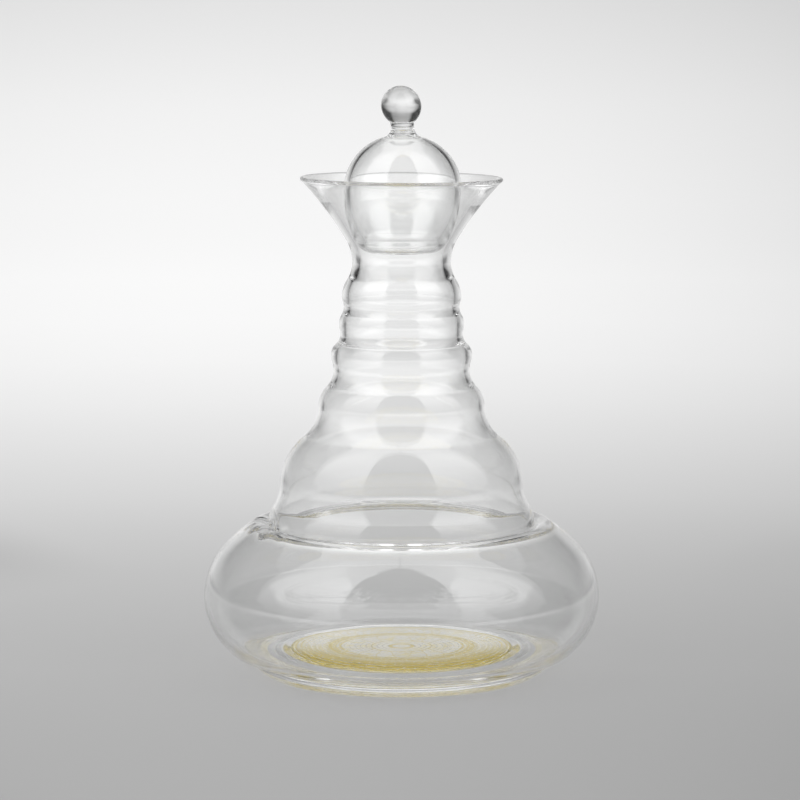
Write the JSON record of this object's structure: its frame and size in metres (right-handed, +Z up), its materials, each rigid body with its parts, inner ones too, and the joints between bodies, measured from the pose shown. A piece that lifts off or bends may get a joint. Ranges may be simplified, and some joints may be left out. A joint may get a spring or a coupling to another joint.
{
  "type": "glass carafe",
  "caption": "Blown glass carafe with a squat belly, a ribbed cone, a funnel mouth and a hollow ball stopper that lifts out",
  "frame": {"origin": "centre of the foot ring on the surface the carafe stands on", "axes": "+Z up along the carafe's axis, -Y towards the camera of the picture, +X to its right"},
  "size_m": [0.1758, 0.1758, 0.2598],
  "materials": {
    "body_glass": "clear, fire polished",
    "stopper_glass": "clear, fire polished",
    "gold_print": "fired gold print, satin"
  },
  "bodies": {
    "carafe": {"carafe_body": "body_glass", "base_emblem": "gold_print"},
    "stopper": {"stopper_bulb": "stopper_glass", "stopper_knob": "stopper_glass"}
  },
  "joints": [
    {"name": "stopper_lift", "type": "slide", "parent": "carafe", "child": "stopper", "axis": [0, 0, 1], "range_m": [0, 0.036]}
  ]
}
